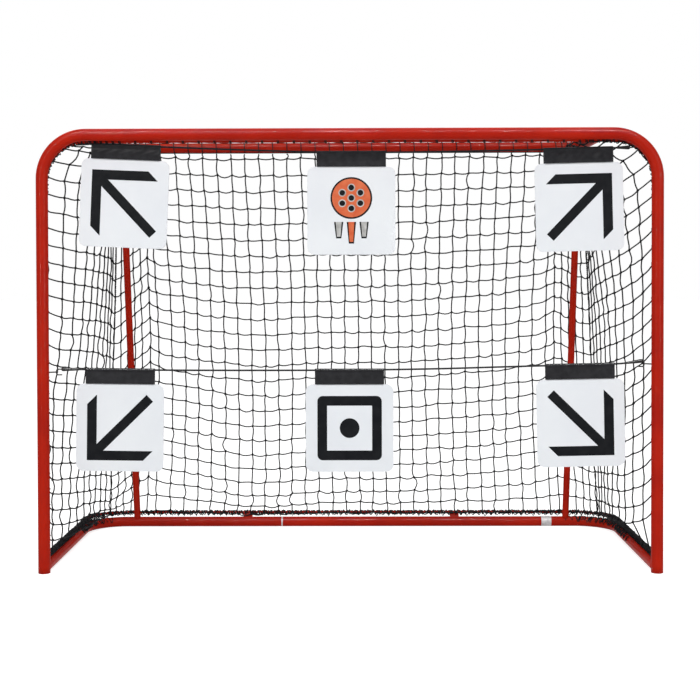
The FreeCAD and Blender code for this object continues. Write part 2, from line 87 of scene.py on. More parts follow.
# Materials: a colour that drifts between two tones, and a bump given by its scale, strength and distance
finishes = dict(
    paint=dict(name="redPowderCoat", colour=(0.43, 0.012, 0.003), roughness=0.42, shine=0.015, coat=0.07,
               coatRoughness=0.04, tones=((0.41, 0.011, 0.003), (0.49, 0.015, 0.003)), scale=9.0,
               bump=(520.0, 0.05, 0.0004)),
    twine=dict(name="nettingTwine", colour=(0.008, 0.008, 0.009), roughness=0.8, shine=0.08,
               tones=((0.004, 0.004, 0.005), (0.013, 0.013, 0.015)), scale=160.0, bump=(900.0, 0.5, 0.0008)),
    cord=dict(name="braidedElastic", colour=(0.009, 0.009, 0.010), roughness=0.7, shine=0.1,
              tones=((0.005, 0.005, 0.006), (0.018, 0.018, 0.020)), scale=420.0, stretch=(1, 0.4, 0.4),
              bump=(700.0, 0.5, 0.0008)),
    plastic=dict(name="mouldedPlastic", colour=(0.012, 0.012, 0.013), roughness=0.42, shine=0.2,
                 tones=((0.011, 0.011, 0.012), (0.018, 0.018, 0.019)), scale=60.0, bump=(1200.0, 0.12, 0.0004)),
    sleeve=dict(name="wovenStrip", colour=(0.012, 0.011, 0.014), roughness=0.5, shine=0.06, coat=0.12,
                tones=((0.008, 0.008, 0.010), (0.018, 0.018, 0.021)), scale=45.0, bump=(900.0, 0.35, 0.0006)),
    card=dict(name="whiteCard", colour=(0.87, 0.90, 0.94), roughness=0.6, shine=0.05,
              tones=((0.855, 0.885, 0.925), (0.895, 0.925, 0.955)), scale=7.0, bump=(260.0, 0.05, 0.0004)),
    ink=dict(name="blackInk", colour=(0.011, 0.012, 0.014), roughness=0.6, shine=0.02,
             tones=((0.009, 0.010, 0.012), (0.014, 0.015, 0.017)), scale=40.0, bump=(800.0, 0.08, 0.0003)),
    orange=dict(name="orangeInk", colour=(0.74, 0.15, 0.06), roughness=0.6, shine=0.03,
                tones=((0.70, 0.13, 0.05), (0.78, 0.19, 0.08)), scale=50.0, bump=(800.0, 0.08, 0.0003)),
    grey=dict(name="greyInk", colour=(0.52, 0.52, 0.50), roughness=0.6, shine=0.03,
              tones=((0.42, 0.42, 0.41), (0.62, 0.62, 0.60)), scale=70.0, bump=(800.0, 0.08, 0.0003)),
    # pale grey, worn by the marker band, a thin pale line across the base tube, and by the blank patch
    paleGrey=dict(name="paleGreyFinish", colour=(0.62, 0.60, 0.60), roughness=0.5, shine=0.5,
              tones=((0.52, 0.50, 0.51), (0.72, 0.70, 0.70)), scale=130.0, bump=(600.0, 0.2, 0.0005)))
noises = dict(detail=4.0, stops=(0.35, 0.65), bumpDetail=3.0)


def newMaterial(name, inputs):
    made = bpy.data.materials.new(name)
    made.use_nodes = True
    shader = made.node_tree.nodes["Principled BSDF"]
    for key, value in inputs.items():
        shader.inputs[key].default_value = value
    return made, made.node_tree, shader


def addNode(tree, kind, **inputs):
    node = tree.nodes.new(kind)
    for key, value in inputs.items():
        if key in node.inputs:
            node.inputs[key].default_value = value
        else:
            setattr(node, key, value)
    return node


def join(tree, source, output, target, entry):
    tree.links.new(source.outputs[output], target.inputs[entry])


def makeFinish(name, colour, roughness, shine, tones, scale, bump, coat=0.0, coatRoughness=0.1, stretch=(1, 1, 1)):
    made, tree, shader = newMaterial(name, {"Base Color": (*colour, 1), "Roughness": roughness,
                                            "Specular IOR Level": shine, "Coat Weight": coat,
                                            "Coat Roughness": coatRoughness})
    # the base colour drifts between its tones with a noise on the object's own coordinates
    place = addNode(tree, "ShaderNodeTexCoord")
    turn = addNode(tree, "ShaderNodeMapping", Scale=stretch)
    noise = addNode(tree, "ShaderNodeTexNoise", Scale=scale, Detail=noises["detail"])
    ramp = addNode(tree, "ShaderNodeValToRGB")
    for stop, level, tone in zip(ramp.color_ramp.elements, noises["stops"], tones):
        stop.position, stop.color = level, (*tone, 1)
    join(tree, place, "Object", turn, "Vector")
    join(tree, turn, "Vector", noise, "Vector")
    join(tree, noise, "Fac", ramp, "Fac")
    join(tree, ramp, "Color", shader, "Base Color")
    # a finer noise is raised as a bump, so that highlights break up as on the real finish
    bumpScale, strength, distance = bump
    fine = addNode(tree, "ShaderNodeTexNoise", Scale=bumpScale, Detail=noises["bumpDetail"])
    raised = addNode(tree, "ShaderNodeBump", Strength=strength, Distance=distance)
    join(tree, turn, "Vector", fine, "Vector")
    join(tree, fine, "Fac", raised, "Height")
    join(tree, raised, "Normal", shader, "Normal")
    return made


materials = {finish: makeFinish(**values) for finish, values in finishes.items()}
print("materials made:", len(materials))


# Mesh building
def unit(vectors):
    return vectors / np.maximum(np.linalg.norm(vectors, axis=-1, keepdims=True), 1e-12)


def makePiece(name, points, polygons, finish, body="root", replaced=(), smooth=True):
    # polygons is a list of index arrays, each with as many columns as its faces have corners
    data = bpy.data.meshes.new(name)
    points = np.asarray(points, np.float32).reshape(-1, 3)
    polygons = [np.asarray(block, np.int32) for block in polygons if len(block)]
    corners = np.concatenate([block.ravel() for block in polygons])
    totals = np.concatenate([np.full(len(block), block.shape[1], np.int32) for block in polygons])
    starts = np.concatenate([[0], np.cumsum(totals)[:-1]]).astype(np.int32)
    data.vertices.add(len(points))
    data.vertices.foreach_set("co", points.ravel())
    data.loops.add(len(corners))
    data.loops.foreach_set("vertex_index", corners)
    data.polygons.add(len(totals))
    data.polygons.foreach_set("loop_start", starts)
    data.polygons.foreach_set("loop_total", totals)
    data.polygons.foreach_set("use_smooth", np.full(len(totals), smooth))
    data.update(calc_edges=True)
    data.validate()
    data.materials.append(materials[finish])
    piece = addObject(name, data)
    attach(piece, body)
    if replaced:
        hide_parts(*replaced)


def gathered(shapes):
    # several (points, polygons) shapes as one, each one's indices moved past the points before it
    points, polygons, used = [], [], 0
    for shape in shapes:
        points.append(shape[0])
        polygons += [block + used for block in shape[1]]
        used += len(shape[0])
    return np.concatenate(points), polygons


def squareTo(heading):
    # two directions square to each heading, turned from the axis that the line as a whole follows least
    aside = np.eye(3)[np.argmin(np.abs(heading).mean(axis=-2), axis=-1)][..., None, :]
    across = unit(np.cross(heading, aside))
    return across, np.cross(heading, across)


def tubesAlong(lines, radius, sides):
    # a circle carried along each of many lines at once, with a pole at each end; radius may change on the way
    lines = np.asarray(lines, float)
    lines = lines[None] if lines.ndim == 2 else lines
    many, steps, _ = lines.shape
    across, over = squareTo(unit(np.gradient(lines, axis=1)))
    radius = np.broadcast_to(np.asarray(radius, float), (many, steps))[..., None, None]
    angle = np.linspace(0, 2 * np.pi, sides, endpoint=False)
    ring = (np.cos(angle)[:, None] * across[:, :, None, :] + np.sin(angle)[:, None] * over[:, :, None, :])
    points = (lines[:, :, None, :] + radius * ring).reshape(-1, 3)
    index = np.arange(many * steps * sides).reshape(many, steps, sides)
    here, there = index[:, :-1], index[:, 1:]
    quads = np.stack([here, np.roll(here, -1, axis=2), np.roll(there, -1, axis=2), there], axis=-1).reshape(-1, 4)
    first = len(points) + np.arange(many)
    last = first + many
    points = np.concatenate([points, lines[:, 0], lines[:, -1]])
    ends = []
    for pole, rim, way in ((first, index[:, 0], 1), (last, index[:, -1], -1)):
        following = np.roll(rim, -1, axis=1)
        pair = (following, rim) if way > 0 else (rim, following)
        ends.append(np.stack([np.broadcast_to(pole[:, None], rim.shape), *pair], axis=-1).reshape(-1, 3))
    return points, [quads, np.concatenate(ends)]


def straightRun(start, end, step):
    many = max(1, int(round(np.linalg.norm(end - start) / step)))
    return start + (end - start) * np.linspace(0, 1, many + 1)[:, None]


def bendPath(corners, bend, step=0.02, arcSteps=20):
    # straight runs joined by arcs of one radius, each tangent to its two runs
    corners = np.asarray(corners, float)
    parts, start = [], corners[0]
    for before, corner, after in zip(corners, corners[1:], corners[2:]):
        inward, outward = unit(corner - before), unit(after - corner)
        turn = math.acos(float(np.clip(inward @ outward, -1, 1)))
        reach = bend * math.tan(turn / 2)
        first, last = corner - inward * reach, corner + outward * reach
        centre = corner + unit(outward - inward) * bend / math.cos(turn / 2)
        share = np.linspace(0, 1, arcSteps + 1)[1:-1, None]
        arc = (np.sin((1 - share) * turn) * (first - centre) + np.sin(share * turn) * (last - centre)) / math.sin(turn)
        parts += [straightRun(start, first, step), centre + arc]
        start = last
    parts.append(straightRun(start, corners[-1], step))
    return np.concatenate(parts)


def lengthsAlong(path):
    return np.concatenate([[0], np.cumsum(np.linalg.norm(np.diff(path, axis=0), axis=1))])


def spaced(path, distances):
    # the points of a path at given distances from its start
    along = lengthsAlong(path)
    return np.stack([np.interp(distances, along, path[:, axis]) for axis in range(3)], axis=-1)


def coilAlong(path, radius, pitch, stepsPerTurn, room, chance, turn=0.0):
    # a helix about a path: the circle's plane is square to the path, and its radius wanders a little
    length = lengthsAlong(path)[-1]
    turns = length / abs(pitch)
    distance = np.linspace(0, length, int(turns * stepsPerTurn) + 1)
    middle = spaced(path, distance)
    across, over = squareTo(unit(np.gradient(middle, axis=0)))
    angle = 2 * np.pi * distance / pitch + turn
    drift = np.interp(distance, np.linspace(0, length, int(turns * 2) + 2),
                      chance.normal(size=int(turns * 2) + 2)) * room
    out = (radius + np.abs(drift))[:, None]
    return middle + out * (np.cos(angle)[:, None] * across + np.sin(angle)[:, None] * over)


def pathPart(path, start, end, step=0.004):
    # the stretch of a path between two distances from its start
    return spaced(path, np.linspace(start, end, max(2, int((end - start) / step))))


# Elastic cords, through the sleeves from one post to the other
elastic = dict(diameter=0.005, depth=0.040, order=3, resolution=24, ringPoints=3)
cordRoutes = dict(
    top=dict(length=1.4146, points=((-0.698, 1.14536), (-0.125, 1.1205), (0.140, 1.1207), (0.480, 1.12588),
                                    (0.716, 1.13145))),
    mid=dict(length=1.4694, points=((-0.729, 0.54048), (-0.455, 0.53680), (0.130, 0.5371), (0.500, 0.54789),
                                    (0.718, 0.55182), (0.740, 0.55482))))


def addCord(name, route):
    # one open spline whose control points are the cord's own route
    data = bpy.data.curves.new("elastic_" + name, "CURVE")
    data.dimensions = "3D"
    spline = data.splines.new("NURBS")
    spline.points.add(len(route["points"]) - 1)
    for point, (x, z) in zip(spline.points, route["points"]):
        point.co = (*at(x, elastic["depth"], z), 1)
    spline.order_u = elastic["order"]
    spline.use_endpoint_u = True
    spline.resolution_u = elastic["resolution"]
    data.bevel_depth = elastic["diameter"] / 2
    data.bevel_resolution = elastic["ringPoints"]
    data.use_fill_caps = True
    data.materials.append(materials["cord"])
    piece = addObject("elastic_" + name, data)
    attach(piece, "root")
    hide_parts("elastic_cord_" + name)
    x, z = route["points"][0]
    tuple(at(x, elastic["depth"], z))


for name, route in cordRoutes.items():
    addCord(name, route)
print("elastic cords laid:", len(cordRoutes))


# Tube frame
tubes = dict(
    frontRadius=0.016, baseRadius=0.015, topRadius=0.014, postRadius=0.010,
    postX=0.816, crossbarZ=1.166, frontBend=0.116, baseDepth=0.640, baseZ=0.015, baseBend=0.116,
    armX=0.678, topDepth=0.410, topZ=1.168, topBend=0.040,
    rearX=0.673, rearHeadDepth=0.396, postStep=0.02, sides=48, thinSides=32)


def addTubes(values):
    x, z, arm = values["postX"], values["crossbarZ"], values["armX"]
    base, top = values["baseDepth"], values["topDepth"]
    bent = dict(front=(at([-x, -x, x, x], 0, [0, z, z, 0]), values["sides"]),
                base=(at([-x, -x, x, x], [0, base, base, 0], values["baseZ"]), values["sides"]),
                top=(at([-arm, -arm, arm, arm], [0, top, top, 0], values["topZ"]), values["thinSides"]))
    for name, (corners, sides) in bent.items():
        path = bendPath(corners, values[name + "Bend"])
        makePiece(name + "_tube", *tubesAlong(path, values[name + "Radius"], sides), "paint",
                  replaced=[name + "_frame"])
    for side, word in ((-1, "left"), (1, "right")):
        foot = at(side * values["rearX"], values["baseDepth"], values["baseZ"])
        head = at(side * values["rearX"], values["rearHeadDepth"], values["topZ"])
        path = straightRun(foot, head, values["postStep"])
        makePiece("rear_tube_" + word, *tubesAlong(path, values["postRadius"], values["thinSides"]), "paint",
                  replaced=["rear_post_" + word])


addTubes(tubes)
print("tubes bent and placed")


def pair(left, right):
    return dict(left=left, right=right)


# Knotted net: one bag of square mesh, hung from the rear bar and laced to both rails
net = dict(
    columns=41, rows=26, sideColumns=10, roofRows=9, mesh=0.0470, acrossSlack=1.004, upSlack=1.001,
    roofSlack=0.9995, twine=0.0020, knot=0.0032, sides=5, spanSteps=4, seed=7,
    railX=0.811, railDepth=0.027, railZ=1.150, railBend=0.105, baseDepth=0.655, baseZ=0.042, baseBend=0.125,
    railFoot=0.062, firstRow=0.017, railRow=0.0452, railShift=pair(-0.0452, 0.082),
    railClose=pair(0.00011, -0.00012), evenRows=7,
    upperPull=pair(0.048, 0.046), lowerPull=pair(0.012, 0.032), pullPower=0.75,
    turnZ=pair(0.55, 0.87), turnSpan=0.06, lowFirst=pair(0.55, 1.0),
    seamFoot=pair(0.62, 0.55), barDepth=0.420, barZ=1.152, armX=0.693, browRoom=0.010,
    roofDepth=0.404, roofZ=1.1845, gravity=0.00003, rounds=160, sweeps=4, glide=0.9, haste=1.9,
    edgeColumns=6.5, edgeSlope=(0.75, 0.5), edgeShare=dict(foot=0.58, head=0.36), waist=0.045,
    waistColumns=3.0, topRow=0.0145, footRow=0.0145, rowSpread=0.29, rowPower=12,
    peak=pair(0.028, 0.040), peakColumn=pair(5.0, 4.6),
    peakWidth=pair(1.7, 2.0), liftFoot=0.10, liftHead=(0.25, 0.40, 1.25),
    driftColumns=(0, 3, 5, 8, 12.5, 14, 18), drift=(0, 0.006, 0.022, 0.017, -0.0145, -0.0145, 0),
    driftFade=(1.1, 0.95, 0.06), valley=pair(0.0300, 0.005), valleyWidth=2.2, rightRise=0.018,
    riseSpan=(1.2, 0.5), sag=0.014, sagColumns=10, roofDip=-0.005, scatter=0.0014,
    bow=0.62, roofBow=0.2, leastSlack=0.0004, mostSlack=0.004, sway=(0.6, 0.6, 0.35), fall=0.7, wobble=0.0005,
    knotLean=(0.7, 0.0, 0.7), knotSpread=0.3, knotReach=(-1.15, -0.7, 0.7, 1.15),
    knotSwell=(0.55, 1.0, 1.0, 0.55), knotSides=6, knotSeed=17,
    seamTwine=0.0011, seamRadius=0.0014, seamPitch=0.013, seamRoom=0.0005, seamFootZ=0.60, seamSteps=8)


def netLayout(values):
    # the net's crossings as two grids: side, back and side in one run, and the roof, which runs over the bar
    rows, side, back, roof = values["rows"], values["sideColumns"], values["columns"], values["roofRows"]
    index = np.arange((side + back + side + 1) * (rows + 1)).reshape(side + back + side + 1, rows + 1)
    roofGrid = index.size + np.arange((back + 1) * (roof + 1)).reshape(back + 1, roof + 1)
    return index, roofGrid


def netEdges(grid):
    # pairs of neighbours across and up a grid
    across = np.stack([grid[:-1], grid[1:]], axis=-1).reshape(-1, 2)
    upward = np.stack([grid[:, :-1], grid[:, 1:]], axis=-1).reshape(-1, 2)
    return across, upward


def railCurves(values):
    # each side's laced edges: up the post to the crossbar's middle, and along the ground to the rear's middle
    x, z, depth = values["railX"], values["railZ"], values["railDepth"]
    post, rear = tubes["postX"], values["baseDepth"]
    curves = {}
    for side, word in ((-1, "left"), (1, "right")):
        front = bendPath(at([side * x, side * x, 0], depth, [values["railFoot"], z, z]), values["railBend"])
        ground = bendPath(at([side * post, side * post, 0], [depth, rear, rear], values["baseZ"]),
                          values["baseBend"])
        curves[word] = dict(front=front, ground=ground)
    return curves


def columnShares(values, edgeShare):
    # columns stand evenly in the middle and crowd together towards both seams
    middle = np.arange(values["columns"]) + 0.5
    inward = np.minimum(middle, values["columns"] - middle) / values["edgeColumns"]
    least, slope = values["edgeSlope"]
    width = np.where(inward < 1, edgeShare * (least + slope * inward), 1.0)
    return np.concatenate([[0], np.cumsum(width)]) / width.sum()


def sideShares(values, first):
    # a side's cells are even but for the laced one behind the post, whose width may differ from row to row
    width = np.ones((values["sideColumns"], len(first)))
    width[0] = first
    return np.concatenate([np.zeros((1, len(first))), np.cumsum(width, axis=0)]) / width.sum(axis=0)


def railRows(values, word, length):
    # how far up the front rail each row is tied, in even steps down from the rail's bend
    order = np.arange(values["rows"] - 1)
    down = values["firstRow"] + values["railRow"] * order - values["railShift"][word]
    down = down - values["railClose"][word] * np.maximum(order - values["evenRows"], 0) ** 2
    return np.concatenate([[0], (length - down)[::-1], [length + values["railShift"][word]]])


def rowShares(values, length):
    # rows stand evenly, close up near the ground, and start just above the rail
    middle = np.linspace(0, 1, values["rows"] - 1)[:-1]
    width = 1 - values["rowSpread"] * (1 - middle) ** values["rowPower"]
    height = np.concatenate([[0], np.cumsum(width)]) / width.sum()
    first, last = values["footRow"] / length, 1 - values["topRow"] / length
    return np.concatenate([[0], first + (last - first) * height, [1]])


def startShape(values, index, roofGrid):
    # each panel first lies as a ruled sheet between its laced edges, its rows lifted near the rear corners
    curves = railCurves(values)
    rows, side, back = values["rows"], values["sideColumns"], values["columns"]
    points = np.zeros((roofGrid.max() + 1, 3))
    bendArc = math.pi / 2 * values["railBend"]
    cornerArc = math.pi / 2 * values["baseBend"]
    sideRun = values["baseDepth"] - values["baseBend"] - values["railDepth"]
    up = rowShares(values, values["railZ"])
    seams, fronts, feet, reaches = {}, {}, {}, {}
    for sign, word in ((-1, "left"), (1, "right")):
        upright = values["railZ"] - values["railBend"] - values["railFoot"]
        fronts[word] = spaced(curves[word]["front"], railRows(values, word, upright + bendArc))
        reaches[word] = sideRun + values["seamFoot"][word] * cornerArc
        feet[word] = spaced(curves[word]["ground"], sideShares(values, np.ones(1))[:, 0] * reaches[word])
        head = at(sign * values["armX"], values["barDepth"], values["barZ"])
        seams[word] = feet[word][-1] + (head - feet[word][-1]) * up[:, None]
    for word, sign, columns in (("left", -1, np.arange(side + 1)),
                                ("right", 1, np.arange(side + back + side, side + back - 1, -1))):
        high = 0.5 + 0.5 * np.tanh((fronts[word][:, 2] - values["turnZ"][word]) / values["turnSpan"])
        share = sideShares(values, values["lowFirst"][word] * (1 - high) + high)
        sheet = fronts[word][None] * (1 - share[..., None]) + seams[word][None] * share[..., None]
        pull = values["lowerPull"][word] * (1 - high) + values["upperPull"][word] * high
        sheet[..., 0] -= sign * pull[None] * np.sin(np.pi * share ** values["pullPower"])
        sheet[:, 0] = feet[word]
        points[index[columns]] = sheet
    ground = np.concatenate([curves["left"]["ground"], curves["right"]["ground"][::-1]])
    total = lengthsAlong(ground)[-1]
    footShare = columnShares(values, values["edgeShare"]["foot"])
    headShare = columnShares(values, values["edgeShare"]["head"])
    foot = spaced(ground, reaches["left"] + footShare * (total - reaches["right"] - reaches["left"]))
    arm = values["armX"]
    head = at(-arm + 2 * arm * headShare, values["barDepth"], values["barZ"])
    sheet = foot[:, None] + (head - foot)[:, None] * up[None, :, None]
    inward = np.minimum(np.arange(back + 1), back - np.arange(back + 1))[:, None]
    sheet[..., 0] *= 1 - values["waist"] * np.sin(np.pi * up)[None] * (1 - np.exp(-inward / values["waistColumns"]))
    onLeft = np.arange(back + 1)[:, None] < back / 2
    peak, valley, column, width = [np.where(onLeft, values[key]["left"], values[key]["right"])
                                   for key in ("peak", "valley", "peakColumn", "peakWidth")]
    start, most = values["riseSpan"]
    lift = (peak * np.exp(-np.abs(inward - column) / width)
            - valley * np.exp(-(inward / values["valleyWidth"]) ** 2)
            + values["rightRise"] * np.clip(footShare[:, None] * 2 - start, 0, most) / most)
    least, span, most = values["liftHead"]
    height = np.minimum(1, up / values["liftFoot"]) * np.clip(least + (1 - up) / span, 0, most)
    height[-1] = 0
    # on the left the rows also drift downwards across the first columns, most of all low down
    most, less, ramp = values["driftFade"]
    low = (most - less * up) * np.minimum(1, up / ramp)
    drift = np.interp(inward, values["driftColumns"], values["drift"]) * onLeft
    sheet[..., 2] += lift * height[None] + drift * low[None]
    sheet[..., 1] -= values["sag"] * np.clip(inward / values["sagColumns"], 0, 1) * np.sin(np.pi * up)[None]
    for word, column in (("left", side), ("right", side + back)):
        seamLift = (lift[0] if word == "left" else lift[-1]) * height
        points[index[column]] = seams[word]
        points[index[column], 2] += seamLift
        order = index[:side + 1] if word == "left" else index[:side + back - 1:-1]
        share = np.linspace(0, 1, side + 1)[:-1, None]
        points[order[:-1], 2] += share ** 2 * seamLift[None]
    points[index[side + 1:side + back]] = sheet[1:-1]
    reach = values["armX"] + values["browRoom"]
    brow = at(-reach + 2 * reach * headShare, values["railDepth"], values["railZ"])
    ridge = at(-arm + 2 * arm * headShare, values["roofDepth"], values["roofZ"])
    share = np.linspace(0, 1, values["roofRows"] + 1)[None, :, None]
    points[roofGrid] = ridge[:, None] * (1 - share) + brow[:, None] * share
    points[roofGrid, 2] -= values["roofDip"] * np.sin(np.pi * share[..., 0])
    return points


def settle(values, points, pairs, lengths, held):
    # corners fall a little each round, then each strand pulls its two ends back to its length, never pushing
    old = points.copy()
    weight = np.where(held, 0.0, 1.0)
    shared = weight[pairs].sum(axis=1)
    pull = np.where(shared > 0, 1.0 / np.maximum(shared, 1e-9), 0.0)
    count = np.maximum(np.bincount(pairs.ravel(), minlength=len(points)), 1)[:, None]
    for _ in range(values["rounds"]):
        moved = points + values["glide"] * (points - old)
        moved[:, 2] -= values["gravity"]
        old = points
        points = np.where(held[:, None], points, moved)
        for _ in range(values["sweeps"]):
            apart = points[pairs[:, 1]] - points[pairs[:, 0]]
            size = np.linalg.norm(apart, axis=1)
            excess = np.maximum(size - lengths, 0) * pull
            shift = apart / size[:, None] * excess[:, None]
            change = np.zeros_like(points)
            for axis in range(3):
                change[:, axis] = (np.bincount(pairs[:, 0], shift[:, axis], len(points))
                                   - np.bincount(pairs[:, 1], shift[:, axis], len(points)))
            points = points + change * weight[:, None] / count * values["haste"]
    return points


def netStrands(values, points, pairs, lengths, seed, bowing):
    # each strand bows between its two knots, mostly downwards, by what its slack allows: the root of three
    # eighths of its span times its slack, as in a shallow arc
    chance = np.random.default_rng(seed)
    start, end = points[pairs[:, 0]], points[pairs[:, 1]]
    apart = end - start
    size = np.linalg.norm(apart, axis=1, keepdims=True)
    slack = np.clip(lengths[:, None] - size, values["leastSlack"], values["mostSlack"])
    bow = bowing * np.sqrt(3 / 8 * size * slack)
    sway = chance.normal(size=(len(pairs), 3)) * np.array(values["sway"])
    sway[:, 2] -= values["fall"]
    sway -= apart / size * ((sway * apart / size).sum(axis=1, keepdims=True))
    share = np.linspace(0, 1, values["spanSteps"] + 1)[None, :, None]
    second = np.sin(2 * np.pi * share) * chance.normal(size=(len(pairs), 1, 3)) * values["wobble"]
    return start[:, None] + apart[:, None] * share + bow[:, None] * sway[:, None] * np.sin(np.pi * share) + second


def knotLines(values, places, seed):
    # a short fat bead on each crossing, lying at a slant
    chance = np.random.default_rng(seed)
    lean = unit(np.stack([chance.normal(mean, values["knotSpread"], len(places)) for mean in values["knotLean"]],
                         axis=-1))
    share = np.array(values["knotReach"])
    return places[:, None] + lean[:, None] * share[None, :, None] * values["knot"]


def addNet(values):
    index, roofGrid = netLayout(values)
    points = startShape(values, index, roofGrid)
    side, back = values["sideColumns"], values["columns"]
    held = np.zeros(len(points), bool)
    for edge in (index[:, 0], index[:, -1], index[0], index[-1], roofGrid):
        held[edge] = True
    chance = np.random.default_rng(values["seed"])
    points += chance.normal(size=points.shape) * values["scatter"] * ~held[:, None]
    across, upward = netEdges(index)
    roofAcross, roofUpward = netEdges(roofGrid[:, ::-1])
    pairs = np.concatenate([across, upward, roofAcross, roofUpward])
    slack = np.repeat([values["acrossSlack"], values["upSlack"], values["roofSlack"]],
                      [len(across), len(upward), len(roofAcross) + len(roofUpward)])
    lengths = np.linalg.norm(points[pairs[:, 1]] - points[pairs[:, 0]], axis=1) * slack
    points = settle(values, points, pairs, lengths, held)
    print("net settled, lowest point", round(float(points[:, 2].min()), 3))
    strips = dict(net_side_left=index[:side + 1], net_side_right=index[side + back:],
                  net_rear=index[side:side + back + 1], net_top=roofGrid[:, ::-1])
    stands = {"net_side_" + word: [f"net_{word}_{part}" for part in ("front", "rear", "corner", "top")]
              for word in ("left", "right")}
    stands.update(net_rear=["net_back"], net_top=["net_roof"])
    seams = dict(net_side_left=side, net_side_right=side + back)
    for number, (name, grid) in enumerate(strips.items()):
        # the rear panel leaves out the row along the bar, where the selvage rope lies
        first = netEdges(grid[:, :-1] if name == "net_rear" else grid)[0]
        wanted = np.concatenate([first, netEdges(grid)[1]])
        apart = np.linalg.norm(points[wanted[:, 1]] - points[wanted[:, 0]], axis=1)
        rest = np.maximum(values["mesh"], apart)
        bowing = values["roofBow"] if name == "net_top" else values["bow"]
        lines = netStrands(values, points, wanted, rest, values["seed"] + number, bowing)
        knots = knotLines(values, points[grid[:, 1:-1].ravel()], values["knotSeed"] + number)
        swell = np.array(values["knotSwell"]) * values["knot"]
        shapes = [tubesAlong(lines, values["twine"], values["sides"]), tubesAlong(knots, swell, values["knotSides"])]
        if name in seams:
            seam = points[index[seams[name]]]
            seam = seam[seam[:, 2] > values["seamFootZ"]]
            for pitch in (values["seamPitch"], -values["seamPitch"]):
                line = coilAlong(seam, values["seamRadius"], pitch, values["seamSteps"], values["seamRoom"], chance)
                shapes.append(tubesAlong(line, values["seamTwine"], values["sides"]))
        makePiece(name, *gathered(shapes), "twine", replaced=stands[name])
    return index, roofGrid, points


netIndex, netRoof, netPoints = addNet(net)
print("net knotted:", len(netPoints), "crossings")


# Lacing: twine wound round both rails, binding the net's edge to them
lacing = dict(
    twine=0.0014, railRadius=0.0035, sides=5, stepsPerTurn=10, seed=21, spiralRoom=0.0012,
    runnerPitch=40.0, runnerSteps=4000, runnerTurn=4.71, hitchTurns=1.5, hitchPitch=0.0034, hitchStep=0.002,
    bendPitch=0.0105, bendBack=-1.7, bendOver=3, bendRoom=0.0015,
    basePitches=(0.0085, 0.0135, -0.019), baseHang=(0.0, 0.0014, 0.0024),
    baseRoom=(0.0004, 0.0007, 0.0012), baseInset=0.020, loopAngles=(-75, 255), loopSteps=25, loopLean=0.003,
    loopRoom=0.0015, rope=0.0015, ropeDepth=0.4135, ropeZ=1.1530, ropeStep=0.01, ropeSides=8,
    drapeTwine=0.0011, drapeRadius=0.0168, drapePitches=(0.021, -0.026, 0.033, -0.041), drapeStep=0.003,
    drapeSwing=(1.2, 1.6), drapeShift=0.03, drapes=((0.440, 0.620), (-0.690, -0.330)))


def wovenOver(path, radius, pitch, swing, phase):
    # a thread that swings from side to side over the top of a level tube
    distance = lengthsAlong(path)
    heading = unit(np.gradient(path, axis=0))
    across = unit(np.cross(heading, [0, 0, 1]))
    angle = swing * np.sin(2 * np.pi * distance / pitch + phase)
    return path + radius * (np.sin(angle)[:, None] * across + np.cos(angle)[:, None] * np.array([0, 0, 1]))


